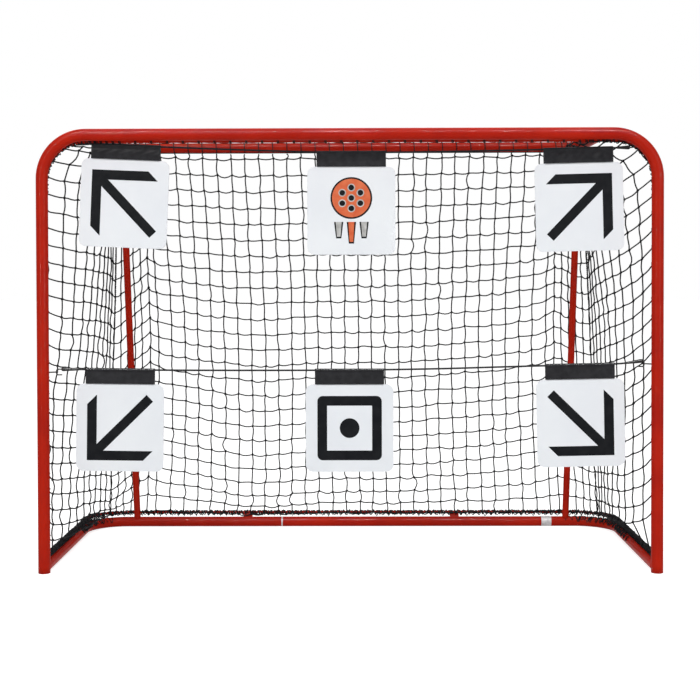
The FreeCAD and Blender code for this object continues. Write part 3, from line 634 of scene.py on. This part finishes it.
def addLacing(values):
    chance = np.random.default_rng(values["seed"])
    x, z = net["railX"], net["railZ"]
    foot, bend = net["railFoot"], net["railBend"]
    front = bendPath(at([-x, -x, x, x], net["railDepth"], [foot, z, z, foot]), bend)
    length = lengthsAlong(front)[-1]
    wound = values["railRadius"] + values["twine"]
    steps = values["stepsPerTurn"]

    def coil(path, pitch, room, hang=0.0):
        # loose turns are wider, and hang below the rail by as much
        low = path - np.array([0, 0, hang])
        return tubesAlong(coilAlong(low, wound + hang, pitch, steps, room, chance), values["twine"], values["sides"])

    runner = coilAlong(front, wound, values["runnerPitch"], values["runnerSteps"], values["spiralRoom"], chance,
                       values["runnerTurn"])
    shapes = [tubesAlong(runner, values["twine"], values["sides"])]
    half = values["hitchTurns"] * values["hitchPitch"] / 2
    upright = z - bend - foot
    arc = math.pi / 2 * bend
    tied = [railRows(net, word, upright + arc)[1:-1] for word in ("left", "right")]
    seam = netPoints[netRoof[1:-1, -1], 0]
    centres = np.concatenate([tied[0], upright + arc + (seam + x - bend), length - tied[1]])
    for centre in centres[(centres > half) & (centres < length - half)]:
        shapes.append(coil(pathPart(front, centre - half, centre + half, values["hitchStep"]),
                           values["hitchPitch"], values["spiralRoom"] / 2))
    over = bend / values["bendOver"]
    for start in (upright, length - upright - arc):
        for pitch in (values["bendPitch"], values["bendBack"] * values["bendPitch"]):
            shapes.append(coil(pathPart(front, start - over, start + arc + over), pitch, values["bendRoom"]))
    makePiece("front_rail_lacing", *gathered(shapes), "twine", replaced=["front_lacing"])
    x, inset, depth = tubes["postX"], values["baseInset"], net["baseDepth"]
    base = bendPath(at([-x, -x, x, x], [inset, depth, depth, inset], net["baseZ"]), net["baseBend"])
    shapes = [coil(base, pitch, room, hang)
              for pitch, room, hang in zip(values["basePitches"], values["baseRoom"], values["baseHang"])]
    depth = tubes["baseDepth"]
    ground = bendPath(at([-x, -x, x, x], [inset, depth, depth, inset], tubes["baseZ"]), tubes["baseBend"])
    whole = lengthsAlong(ground)[-1]
    for start, end in values["drapes"]:
        start, end = start % whole, end % whole
        for pitch in values["drapePitches"]:
            shift = chance.uniform(-values["drapeShift"], values["drapeShift"], 2)
            part = pathPart(ground, start + shift[0], end + shift[1], values["drapeStep"])
            line = wovenOver(part, values["drapeRadius"], pitch, chance.uniform(*values["drapeSwing"]),
                             chance.uniform(0, 2 * np.pi))
            shapes.append(tubesAlong(line, values["drapeTwine"], values["sides"]))
    makePiece("base_rail_lacing", *gathered(shapes), "twine", replaced=["base_lacing"])
    radius = tubes["topRadius"] + values["loopRoom"]
    angle = np.radians(np.linspace(*values["loopAngles"], values["loopSteps"]))
    turnX = netPoints[netIndex[net["sideColumns"]:net["sideColumns"] + net["columns"] + 1, -1], 0][1:-1]
    lean = np.linspace(-values["loopLean"], values["loopLean"], len(angle))
    rings = at(turnX[:, None] + lean[None], tubes["topDepth"] + radius * np.cos(angle)[None],
               tubes["topZ"] + radius * np.sin(angle)[None])
    arm, depth, height = net["armX"], values["ropeDepth"], values["ropeZ"]
    rope = straightRun(at(-arm, depth, height), at(arm, depth, height), values["ropeStep"])
    makePiece("rear_bar_loops", *gathered([tubesAlong(rings, values["twine"], values["sides"]),
                                           tubesAlong(rope, values["rope"], values["ropeSides"])]), "twine",
              replaced=["top_lacing"])


addLacing(lacing)
print("lacing wound")


# Prints on the cards: plain arrows, a square with a dot, and a ball
prints = dict(
    thickness=0.0003, layerStep=0.7, bar=0.026, reach=0.177, lead=0.151, shaft=0.1685, shaftWidth=0.025,
    squareSide=0.173, squareCorner=0.014, innerCorner=0.001, dot=0.0265)
# x, height and slope of the cord where each card hangs, then its strip's seed and bulge
cardPlaces = dict(
    upper_left=(-0.598, 1.1410, -0.0436, 3, 0.0012), upper_middle=(0.005, 1.1205, 0.0, 5, 0.0010),
    upper_right=(0.612, 1.1290, 0.0236, 8, 0.0026), lower_left=(-0.617, 0.5390, -0.0136, 13, 0.0009),
    lower_middle=(-0.001, 0.5368, 0.0, 21, 0.0010), lower_right=(0.617, 0.5500, 0.0180, 34, 0.0012))
cardFace = dict(
    side=0.236, drop=0.0375, thickness=0.003, depth=0.040, corner=0.020, cornerSteps=9, ease=0.0008,
    edgeSteps=4, tongueHalf=0.090, tongueTop=-0.006, tongueRoot=0.002)
cardMiddle = -cardFace["drop"] - cardFace["side"] / 2
sleeve = dict(
    half=0.093, drop=0.0375, legOuter=0.0028, legInner=0.00152, rollOuter=0.0048, rollInner=0.0035,
    joinAngle=35, legTop=-0.010, legSteps=12, curveSteps=7, rollSteps=12, sections=70,
    paces=(0.031, 0.047, 0.083), slant=0.8, swellPower=0.8)
badge = dict(
    rise=0.034, ball=0.056, outline=0.0045, hole=0.0075, rim=0.0028, holeRing=0.028, holes=6, holeSteps=24,
    streakTop=-0.030, streakFeet=(-0.074, -0.088, -0.074), streakX=0.034, streakWidth=(0.025, 0.014),
    streakLayers=(-0.3, 0.5))


def flatPlate(outline, hole=None, layer=0):
    # an outline in the card's own plane, raised off the card's face; with a hole it is a ring of quads
    outline = np.asarray(outline, float)
    area = 0.5 * np.sum(outline[:, 0] * np.roll(outline[:, 1], -1) - np.roll(outline[:, 0], -1) * outline[:, 1])
    if area < 0:
        outline = outline[::-1]
        hole = None if hole is None else np.asarray(hole, float)[::-1]
    many = len(outline)
    front = -cardFace["thickness"] / 2 - prints["thickness"] * (1 + prints["layerStep"] * layer)
    back = -cardFace["thickness"] / 2 + prints["thickness"]
    loops = [outline] if hole is None else [outline, np.asarray(hole, float)]
    points = np.concatenate([np.stack([loop[:, 0], np.full(many, level), loop[:, 1]], axis=-1)
                             for level in (front, back) for loop in loops])
    one = np.arange(many)
    two = np.roll(one, -1)
    if hole is None:
        polygons = [one[None], (one + many)[None, ::-1],
                    np.stack([one, one + many, two + many, two], axis=-1)]
    else:
        polygons = [np.stack([one, two, two + many, one + many], axis=-1),
                    np.stack([one + 2 * many, one + 3 * many, two + 3 * many, two + 2 * many], axis=-1),
                    np.stack([one, one + 2 * many, two + 2 * many, two], axis=-1),
                    np.stack([one + many, two + many, two + 3 * many, one + 3 * many], axis=-1)]
    return points, polygons


def hang(points, place):
    # from the card's own plane, below its cord, to where it hangs and how its cord slopes
    x, z, slope = cardPlaces[place][:3]
    angle = math.atan(slope)
    cosine, sine = math.cos(angle), math.sin(angle)
    points = np.asarray(points, float)
    turned = np.stack([points[:, 0] * cosine - points[:, 2] * sine, points[:, 1],
                       points[:, 0] * sine + points[:, 2] * cosine], axis=-1)
    return turned + at(x, cardFace["depth"], z)


def hangPiece(name, shapes, finish, place, replaced=(), smooth=False):
    # shapes in the card's own plane, hung as one piece of the target
    points, polygons = gathered(shapes)
    makePiece(name, hang(points, place), polygons, finish, body="target_" + place, replaced=replaced, smooth=smooth)


def arrowOutline(right, up):
    # a corner head whose ends slant outwards, with a square-cut shaft along its diagonal
    bar, reach, lead, tail = prints["bar"], prints["reach"], prints["lead"], prints["shaft"]
    half = prints["shaftWidth"] / math.sqrt(2)
    corner = [(0, 0), (lead, 0), (reach, bar), (bar + half, bar), (tail + half / 2, tail - half / 2),
              (tail - half / 2, tail + half / 2), (bar, bar + half), (bar, reach), (0, lead)]
    return [(right * (reach / 2 - x), cardMiddle + up * (reach / 2 - z)) for x, z in corner]


def roundedSquare(side, corner, steps=6):
    turn = np.linspace(0, np.pi / 2, steps)
    quarter = np.stack([np.cos(turn), np.sin(turn)], axis=-1) * corner
    reach = side / 2 - corner
    parts = []
    for number in range(4):
        angle = number * np.pi / 2
        spin = np.array([[np.cos(angle), np.sin(angle)], [-np.sin(angle), np.cos(angle)]])
        parts.append((quarter + reach) @ spin)
    return np.concatenate(parts)


def wallsBetween(index):
    # quads between each closed ring of points and the next
    here, there = index[:-1], index[1:]
    return np.stack([here, there, np.roll(there, -1, axis=1), np.roll(here, -1, axis=1)], axis=-1).reshape(-1, 4)


def addCard(place, values):
    # a rounded square whose edges are eased, built of outlines that step inwards towards each face
    turn = np.linspace(0, np.pi / 2, values["edgeSteps"])
    ease, half = values["ease"], values["thickness"] / 2
    inset, level = ease * (1 - np.sin(turn)), half - ease + ease * np.cos(turn)
    inset, level = np.concatenate([inset, inset[::-1]]), np.concatenate([-level, level[::-1]])
    loops = []
    for inward, depth in zip(inset, level):
        outline = roundedSquare(values["side"] - 2 * inward, values["corner"] - inward, values["cornerSteps"])[::-1]
        loops.append(np.stack([outline[:, 0], np.full(len(outline), depth), outline[:, 1] + cardMiddle], axis=-1))
    index = np.arange(len(loops) * len(loops[0])).reshape(len(loops), -1)
    plate = np.concatenate(loops), [index[0][None], index[-1][None, ::-1], wallsBetween(index)]
    tongue = blockShape((-values["tongueHalf"], -half, -values["drop"] - values["tongueRoot"]),
                        (values["tongueHalf"], half, values["tongueTop"]))
    hangPiece("plate_" + place, [plate, tongue], "card", place, replaced=["card_" + place])


def blockShape(low, high):
    corners = np.array([[x, y, z] for z in (low[2], high[2]) for y in (low[1], high[1]) for x in (low[0], high[0])])
    faces = [[0, 2, 3, 1], [4, 5, 7, 6], [0, 1, 5, 4], [2, 6, 7, 3], [0, 4, 6, 2], [1, 3, 7, 5]]
    return corners, [np.array(faces)]


def foldProfile(leg, radius, values):
    # half a folded strip's section, as distances from its middle plane: a flat leg, a curve out, and the roll
    join = math.radians(values["joinAngle"])
    width, height = radius * math.cos(join), -radius * math.sin(join)
    flat = np.linspace(-values["drop"], values["legTop"], values["legSteps"])[:-1]
    share = np.linspace(0, 1, values["curveSteps"])[:-1]
    rise = height - values["legTop"]
    curve = leg + (width - leg) * (3 * share ** 2 - 2 * share ** 3) + math.tan(join) * rise * (share ** 3 - share ** 2)
    roll = np.linspace(-join, np.pi / 2, values["rollSteps"])
    side = np.concatenate([np.full(len(flat), leg), curve, radius * np.cos(roll)])
    level = np.concatenate([flat, values["legTop"] + rise * share, radius * np.sin(roll)])
    return (np.concatenate([-side, side[-2::-1]]), np.concatenate([level, level[-2::-1]]))


def addSleeve(place, values):
    # the strip's section carried along its cord; its legs bulge a little between the cord and the card
    outerY, outerZ = foldProfile(values["legOuter"], values["rollOuter"], values)
    innerY, innerZ = foldProfile(values["legInner"], values["rollInner"], values)
    ringY = np.concatenate([outerY, innerY[::-1]])
    ringZ = np.concatenate([outerZ, innerZ[::-1]])
    along = np.linspace(-values["half"], values["half"], values["sections"])
    seed, most = cardPlaces[place][3:]
    chance = np.random.default_rng(seed)
    depth = np.clip((values["legTop"] - ringZ) / (values["legTop"] + values["drop"]), 0, 1)
    swell = np.sin(np.pi * depth ** values["swellPower"])
    waves = np.zeros((len(along), len(ringY)))
    for pace in values["paces"]:
        phase, slant = chance.uniform(0, 2 * np.pi), chance.normal() * values["slant"]
        waves += np.sin(2 * np.pi * (along[:, None] + slant * ringZ[None]) / pace + phase) / len(values["paces"])
    bulge = most * swell[None] * (0.5 + 0.5 * waves)
    points = np.stack(np.broadcast_arrays(along[:, None], ringY[None] + np.sign(ringY)[None] * bulge, ringZ[None]),
                      axis=-1)
    many = len(ringY)
    index = np.arange(len(along) * many).reshape(-1, many)
    step = np.arange(len(outerY) - 1)
    cap = np.stack([step, step + 1, many - 2 - step, many - 1 - step], axis=-1)
    polygons = [wallsBetween(index), index[0][cap], index[-1][cap][:, ::-1]]
    hangPiece("strip_" + place, [(points.reshape(-1, 3), polygons)], "sleeve", place, replaced=["sleeve_" + place],
              smooth=True)


for place in cardPlaces:
    addCard(place, cardFace)
    addSleeve(place, sleeve)
print("cards and sleeves hung:", len(cardPlaces))


def circle(radius, steps=48):
    turn = np.linspace(0, 2 * np.pi, steps, endpoint=False)
    return np.stack([np.cos(turn), np.sin(turn)], axis=-1) * radius


def addPrints():
    corners = dict(upper_left=(-1, 1), upper_right=(1, 1), lower_left=(-1, -1), lower_right=(1, -1))
    for place, (right, up) in corners.items():
        hangPiece("arrow_" + place, [flatPlate(arrowOutline(right, up))], "ink", place)
    middle = np.array([0, cardMiddle])
    outer = roundedSquare(prints["squareSide"], prints["squareCorner"]) + middle
    inner = roundedSquare(prints["squareSide"] - 2 * prints["bar"], prints["innerCorner"]) + middle
    hangPiece("square_and_dot", [flatPlate(outer, inner), flatPlate(circle(prints["dot"]) + middle)], "ink",
              "lower_middle")


def addBadge(values):
    # a ball with holes that flies up, three streaks below it
    middle = np.array([0, cardMiddle])
    centre = middle + np.array([0, values["rise"]])
    line, steps = values["outline"], values["holeSteps"]
    turn = np.linspace(0, 2 * np.pi, values["holes"], endpoint=False) + np.pi / 6
    spots = [centre] + [centre + values["holeRing"] * np.array([math.cos(t), math.sin(t)]) for t in turn]
    dark = [flatPlate(circle(values["ball"]) + centre)]
    orange = [flatPlate(circle(values["ball"] - line) + centre, layer=1)]
    grey = [flatPlate(circle(values["hole"] + values["rim"], steps) + spot, layer=2) for spot in spots]
    dark += [flatPlate(circle(values["hole"], steps) + spot, layer=3) for spot in spots]
    top, (broad, narrow), (under, over) = values["streakTop"], values["streakWidth"], values["streakLayers"]
    for column, foot in zip((-1, 0, 1), values["streakFeet"]):
        for edge, layer, group in ((0, under, dark), (line, over, grey if column else orange)):
            outline = [(-broad / 2 + edge, top), (broad / 2 - edge, top),
                       (narrow / 2 - edge / 2, foot + edge), (-narrow / 2 + edge / 2, foot + edge)]
            group.append(flatPlate(np.array(outline) + middle + np.array([column * values["streakX"], 0]),
                                   layer=layer))
    for name, shapes, finish in (("outline", dark, "ink"), ("ball", orange, "orange"), ("rims", grey, "grey")):
        hangPiece("badge_" + name, shapes, finish, "upper_middle")


addPrints()
addBadge(badge)
print("cards printed")


# Parts that keep their own solid take a finish only
finishOf = dict(
    front_net_rail="paint", base_net_rail="paint", front_rail_tabs="paint", base_rail_tabs="paint",
    foot_plug_left="plastic", foot_plug_right="plastic", net_tie_left="twine", net_tie_right="twine",
    # the marker band's pale grey makes a thin pale line across the base tube
    marker_band="paleGrey", blank_patch="paleGrey")
for name in nodes:
    if name.startswith("hook_"):
        finishOf[name] = "plastic"
for name, finish in finishOf.items():
    slots = nodes[name].data.materials
    slots.clear()
    slots.append(materials[finish])
print("finishes given to", len(finishOf), "parts")


# Floor, world and lamps
studio = dict(floorSize=60.0, floorColour=(0.62, 0.62, 0.62), floorRoughness=0.9, floorGlow=0.76, ambient=0.39)
lamps = dict(
    key=dict(place=(-1.6, -4.0, 3.2), target=(0, 0, 0.6), size=(2.6, 2.6), power=90.0),
    fill=dict(place=(2.6, -3.2, 1.6), target=(0, 0, 0.6), size=(2.6, 2.6), power=33.0),
    top=dict(place=(0, 0.2, 3.6), target=(0, 0, 0.6), size=(2.6, 2.6), power=36.0),
    # three long strips that show only as lines of light along the tubes
    crown=dict(place=(0, -2.25, 3.46), target=(0, frontY, 1.166), size=(5.0, 0.22), power=760.0, shineOnly=True),
    leftStrip=dict(place=(-2.4, -4.0, 0.9), target=(-0.816, frontY, 0.9), size=(0.22, 3.2), power=130.0,
                   shineOnly=True),
    rightStrip=dict(place=(3.6, -3.2, 0.9), target=(0.816, frontY, 0.9), size=(0.22, 3.2), power=130.0,
                    shineOnly=True))


def seenDirectly(tree):
    # 1 for a ray that shows the backdrop itself: from the camera, in a reflection or through glass
    path = addNode(tree, "ShaderNodeLightPath")
    first, second = [addNode(tree, "ShaderNodeMath", operation="MAXIMUM") for _ in range(2)]
    join(tree, path, "Is Camera Ray", first, 0)
    join(tree, path, "Is Glossy Ray", first, 1)
    join(tree, first, 0, second, 0)
    join(tree, path, "Is Transmission Ray", second, 1)
    return second


def addFloor(values):
    half = values["floorSize"] / 2
    data = bpy.data.meshes.new("floor")
    data.from_pydata([(-half, -half, 0), (half, -half, 0), (half, half, 0), (-half, half, 0)], [], [(0, 1, 2, 3)])
    floor = addObject("floor", data)
    made, tree, shader = newMaterial("paleFloor", {"Base Color": (*values["floorColour"], 1),
                                                   "Roughness": values["floorRoughness"],
                                                   "Emission Color": (1, 1, 1, 1)})
    seen = seenDirectly(tree)
    glow = addNode(tree, "ShaderNodeMath", operation="MULTIPLY")
    glow.inputs[1].default_value = values["floorGlow"]
    join(tree, seen, 0, glow, 0)
    join(tree, glow, 0, shader, "Emission Strength")
    data.materials.append(made)


def addWorld(values):
    # bright white where it is seen, dimmer as the light that falls on the goal
    world = bpy.data.worlds.new("whiteRoom")
    world.use_nodes = True
    tree = world.node_tree
    back = tree.nodes["Background"]
    back.inputs["Color"].default_value = (1, 1, 1, 1)
    seen = seenDirectly(tree)
    mix = addNode(tree, "ShaderNodeMapRange", **{"To Min": values["ambient"], "To Max": 1.0})
    join(tree, seen, 0, mix, "Value")
    join(tree, mix, "Result", back, "Strength")
    bpy.context.scene.world = world


def addLamp(name, place, target, size, power, shineOnly=False):
    data = bpy.data.lights.new(name, "AREA")
    data.shape, data.energy = "RECTANGLE", power
    data.size, data.size_y = size
    lamp = addObject(name, data)
    direction = np.array(target, float) - np.array(place, float)
    lamp.rotation_euler = Vector(direction).to_track_quat("-Z", "Y").to_euler()
    lamp.location = place
    lamp.visible_diffuse = not shineOnly


addFloor(studio)
addWorld(studio)
for name, values in lamps.items():
    addLamp(name, **values)
print("studio lit")
